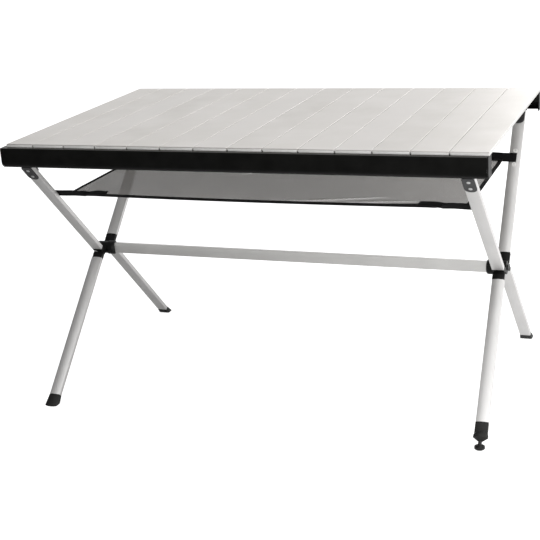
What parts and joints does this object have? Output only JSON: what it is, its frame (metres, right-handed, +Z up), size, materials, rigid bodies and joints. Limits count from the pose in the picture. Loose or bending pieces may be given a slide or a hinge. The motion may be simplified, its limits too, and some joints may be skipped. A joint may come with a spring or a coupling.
{
  "type": "folding camp table",
  "caption": "Folding camp table with a roll-up aluminium slat top, black aprons, X-shaped folding legs on a crossbar, and a mesh shelf under the top.",
  "frame": {"origin": "on the floor under the middle of the table, at the centre of the bounding box in X and Y", "axes": "+X along the table's length to the end with the levelling foot in front, +Y to the back, +Z up"},
  "size_m": [1.2, 0.76, 0.71],
  "materials": {
    "slat_aluminium": "satin anodised",
    "tube_aluminium": "satin anodised",
    "apron_paint": "satin black",
    "black_plastic": "fine texture",
    "zinc_steel": "bright zinc plated",
    "shelf_mesh": "open knitted mesh",
    "webbing": "woven webbing"
  },
  "bodies": {
    "hub_frame": {"crossbar": "tube_aluminium", "hub_housing_left": "black_plastic", "hub_housing_right": "black_plastic", "pivot_bolt_left": "zinc_steel", "pivot_bolt_right": "zinc_steel", "shelf_mesh": "shelf_mesh", "shelf_hem_left": "webbing", "shelf_hem_right": "webbing"},
    "legs_a": {"leg_a_upper_left": "tube_aluminium", "leg_a_upper_right": "tube_aluminium", "leg_a_lower_left": "tube_aluminium", "leg_a_lower_right": "tube_aluminium", "hub_connector_a_left": "black_plastic", "hub_connector_a_right": "black_plastic", "leg_top_a_left": "black_plastic", "leg_top_a_right": "black_plastic", "back_foot_left": "black_plastic", "back_foot_right": "black_plastic", "shelf_strap_front": "webbing"},
    "legs_b": {"leg_b_upper_left": "tube_aluminium", "leg_b_upper_right": "tube_aluminium", "leg_b_lower_left": "tube_aluminium", "leg_b_lower_right": "tube_aluminium", "hub_connector_b_left": "black_plastic", "hub_connector_b_right": "black_plastic", "leg_top_b_left": "black_plastic", "leg_top_b_right": "black_plastic", "front_foot_left": "black_plastic", "levelling_foot_collar": "black_plastic", "shelf_strap_back": "webbing"},
    "levelling_screw": {"levelling_foot": "black_plastic"},
    "apron_front": {"front_apron": "apron_paint", "apron_cap_front_left": "black_plastic", "apron_cap_front_right": "black_plastic", "hinge_block_front_left": "black_plastic", "hinge_block_front_right": "black_plastic", "hinge_pin_front_left": "zinc_steel", "hinge_pin_front_right": "zinc_steel"},
    "apron_back": {"back_apron": "apron_paint", "apron_cap_back_left": "black_plastic", "apron_cap_back_right": "black_plastic", "hinge_block_back_left": "black_plastic", "hinge_block_back_right": "black_plastic", "hinge_pin_back_left": "zinc_steel", "hinge_pin_back_right": "zinc_steel"},
    "slat_01_body": {"slat_01": "slat_aluminium"},
    "slat_02_body": {"slat_02": "slat_aluminium"},
    "slat_03_body": {"slat_03": "slat_aluminium"},
    "slat_04_body": {"slat_04": "slat_aluminium"},
    "slat_05_body": {"slat_05": "slat_aluminium"},
    "slat_06_body": {"slat_06": "slat_aluminium"},
    "slat_07_body": {"slat_07": "slat_aluminium"},
    "slat_08_body": {"slat_08": "slat_aluminium"},
    "slat_09_body": {"slat_09": "slat_aluminium"},
    "slat_10_body": {"slat_10": "slat_aluminium"},
    "slat_11_body": {"slat_11": "slat_aluminium"},
    "slat_12_body": {"slat_12": "slat_aluminium"},
    "slat_13_body": {"slat_13": "slat_aluminium"},
    "slat_14_body": {"slat_14": "slat_aluminium"}
  },
  "joints": [
    {"name": "fold", "type": "hinge", "parent": "hub_frame", "child": "legs_a", "pos_m": [0, 0, 0.32837], "axis": [-1, 0, 0], "range_deg": [0, 44.7], "deforming": ["shelf_mesh", "shelf_hem_left", "shelf_hem_right"]},
    {"name": "fold_b", "type": "hinge", "parent": "hub_frame", "child": "legs_b", "pos_m": [0, 0, 0.32837], "axis": [1, 0, 0], "range_deg": [0, 44.7]},
    {"name": "front_apron_turn", "type": "hinge", "parent": "legs_a", "child": "apron_front", "pos_m": [0, -0.3556, 0.66], "axis": [1, 0, 0], "range_deg": [0, 44.7]},
    {"name": "back_apron_turn", "type": "hinge", "parent": "legs_b", "child": "apron_back", "pos_m": [0, 0.3556, 0.66], "axis": [-1, 0, 0], "range_deg": [0, 44.7]},
    {"name": "top_lift", "type": "slide", "parent": "hub_frame", "child": "slat_07_body", "axis": [0, 0, 1], "range_m": [0, 0.3]},
    {"name": "levelling_travel", "type": "slide", "parent": "legs_b", "child": "levelling_screw", "axis": [0.0192, -0.7033, -0.7107], "range_m": [-0.003, 0.012]},
    {"name": "roll", "type": "hinge", "parent": "slat_07_body", "child": "slat_08_body", "pos_m": [0.00325, 0, 0.7068], "axis": [0, -1, 0], "range_deg": [0, 25]},
    {"name": "roll_08", "type": "hinge", "parent": "slat_08_body", "child": "slat_09_body", "pos_m": [0.08896, 0, 0.7068], "axis": [0, -1, 0], "range_deg": [0, 25]},
    {"name": "roll_09", "type": "hinge", "parent": "slat_09_body", "child": "slat_10_body", "pos_m": [0.17468, 0, 0.7068], "axis": [0, -1, 0], "range_deg": [0, 25]},
    {"name": "roll_10", "type": "hinge", "parent": "slat_10_body", "child": "slat_11_body", "pos_m": [0.26039, 0, 0.7068], "axis": [0, -1, 0], "range_deg": [0, 25]},
    {"name": "roll_11", "type": "hinge", "parent": "slat_11_body", "child": "slat_12_body", "pos_m": [0.34611, 0, 0.7068], "axis": [0, -1, 0], "range_deg": [0, 25]},
    {"name": "roll_12", "type": "hinge", "parent": "slat_12_body", "child": "slat_13_body", "pos_m": [0.43182, 0, 0.7068], "axis": [0, -1, 0], "range_deg": [0, 25]},
    {"name": "roll_13", "type": "hinge", "parent": "slat_13_body", "child": "slat_14_body", "pos_m": [0.51754, 0, 0.7068], "axis": [0, -1, 0], "range_deg": [0, 25]},
    {"name": "roll_06", "type": "hinge", "parent": "slat_07_body", "child": "slat_06_body", "pos_m": [-0.08246, 0, 0.7068], "axis": [0, 1, 0], "range_deg": [0, 25]},
    {"name": "roll_05", "type": "hinge", "parent": "slat_06_body", "child": "slat_05_body", "pos_m": [-0.16818, 0, 0.7068], "axis": [0, 1, 0], "range_deg": [0, 25]},
    {"name": "roll_04", "type": "hinge", "parent": "slat_05_body", "child": "slat_04_body", "pos_m": [-0.25389, 0, 0.7068], "axis": [0, 1, 0], "range_deg": [0, 25]},
    {"name": "roll_03", "type": "hinge", "parent": "slat_04_body", "child": "slat_03_body", "pos_m": [-0.33961, 0, 0.7068], "axis": [0, 1, 0], "range_deg": [0, 25]},
    {"name": "roll_02", "type": "hinge", "parent": "slat_03_body", "child": "slat_02_body", "pos_m": [-0.42532, 0, 0.7068], "axis": [0, 1, 0], "range_deg": [0, 25]},
    {"name": "roll_01", "type": "hinge", "parent": "slat_02_body", "child": "slat_01_body", "pos_m": [-0.51104, 0, 0.7068], "axis": [0, 1, 0], "range_deg": [0, 25]}
  ],
  "couplings": [
    {"joint": "fold_b", "follows": "fold", "ratio": 1},
    {"joint": "front_apron_turn", "follows": "fold", "ratio": 1},
    {"joint": "back_apron_turn", "follows": "fold", "ratio": 1},
    {"joint": "top_lift", "follows": "fold", "m_per_rad": 0.37},
    {"joint": "roll_08", "follows": "roll", "ratio": 1},
    {"joint": "roll_09", "follows": "roll", "ratio": 1},
    {"joint": "roll_10", "follows": "roll", "ratio": 1},
    {"joint": "roll_11", "follows": "roll", "ratio": 1},
    {"joint": "roll_12", "follows": "roll", "ratio": 1},
    {"joint": "roll_13", "follows": "roll", "ratio": 1},
    {"joint": "roll_06", "follows": "roll", "ratio": 1},
    {"joint": "roll_05", "follows": "roll", "ratio": 1},
    {"joint": "roll_04", "follows": "roll", "ratio": 1},
    {"joint": "roll_03", "follows": "roll", "ratio": 1},
    {"joint": "roll_02", "follows": "roll", "ratio": 1},
    {"joint": "roll_01", "follows": "roll", "ratio": 1}
  ]
}
